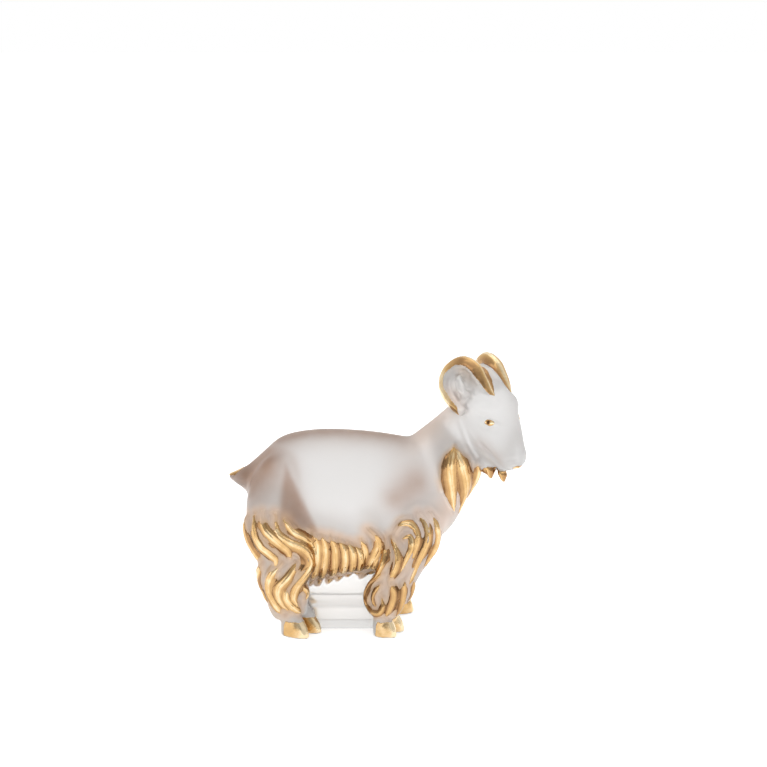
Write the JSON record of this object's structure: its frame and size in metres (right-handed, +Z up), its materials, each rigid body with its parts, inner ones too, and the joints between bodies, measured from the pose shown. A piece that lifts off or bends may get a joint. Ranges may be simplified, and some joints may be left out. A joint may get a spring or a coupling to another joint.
{
  "type": "figurine",
  "caption": "Standing goat figurine in satin cast crystal, head turned aside, with a clear block between its legs and gold fired on to horns, hair locks, eyes and hooves.",
  "frame": {"origin": "on the flat polished underside of the base, below the middle of the body", "axes": "+X towards the goat's head end, +Y to the goat's left, +Z up"},
  "size_m": [0.0949, 0.0414, 0.089],
  "materials": {
    "satin crystal": "acid-satined outside, with the block between the legs polished clear",
    "fired gold": "bright burnished gold, brushed on and fired"
  },
  "bodies": {
    "root": {"crystal_casting": "satin crystal", "gold_beard_front": "fired gold", "gold_beard_rear": "fired gold", "gold_elbow_left": "fired gold", "gold_elbow_right": "fired gold", "gold_eye_left": "fired gold", "gold_eye_right": "fired gold", "gold_fore_hoof_left_inner": "fired gold", "gold_fore_hoof_left_outer": "fired gold", "gold_fore_hoof_right_inner": "fired gold", "gold_fore_hoof_right_outer": "fired gold", "gold_fringe_1_left": "fired gold", "gold_fringe_1_right": "fired gold", "gold_fringe_2_left": "fired gold", "gold_fringe_2_right": "fired gold", "gold_fringe_3_left": "fired gold", "gold_fringe_3_right": "fired gold", "gold_fringe_4_left": "fired gold", "gold_fringe_4_right": "fired gold", "gold_fringe_5_left": "fired gold", "gold_fringe_5_right": "fired gold", "gold_hind_hoof_left_inner": "fired gold", "gold_hind_hoof_left_outer": "fired gold", "gold_hind_hoof_right_inner": "fired gold", "gold_hind_hoof_right_outer": "fired gold", "gold_hock_front_left": "fired gold", "gold_hock_front_right": "fired gold", "gold_hock_rear_left": "fired gold", "gold_hock_rear_right": "fired gold", "gold_horn_left": "fired gold", "gold_horn_right": "fired gold", "gold_knee_front_left": "fired gold", "gold_knee_front_right": "fired gold", "gold_knee_rear_left": "fired gold", "gold_knee_rear_right": "fired gold", "gold_muzzle": "fired gold", "gold_shoulder_front_left": "fired gold", "gold_shoulder_front_right": "fired gold", "gold_shoulder_middle_left": "fired gold", "gold_shoulder_middle_right": "fired gold", "gold_shoulder_rear_left": "fired gold", "gold_shoulder_rear_right": "fired gold", "gold_tail_tip": "fired gold", "gold_thigh_front_left": "fired gold", "gold_thigh_front_right": "fired gold", "gold_thigh_middle_left": "fired gold", "gold_thigh_middle_right": "fired gold", "gold_thigh_rear_left": "fired gold", "gold_thigh_rear_right": "fired gold", "gold_throat_front_left": "fired gold", "gold_throat_front_right": "fired gold", "gold_throat_rear_left": "fired gold", "gold_throat_rear_right": "fired gold", "gold_upper_arm_left": "fired gold", "gold_upper_arm_right": "fired gold"}
  },
  "joints": []
}
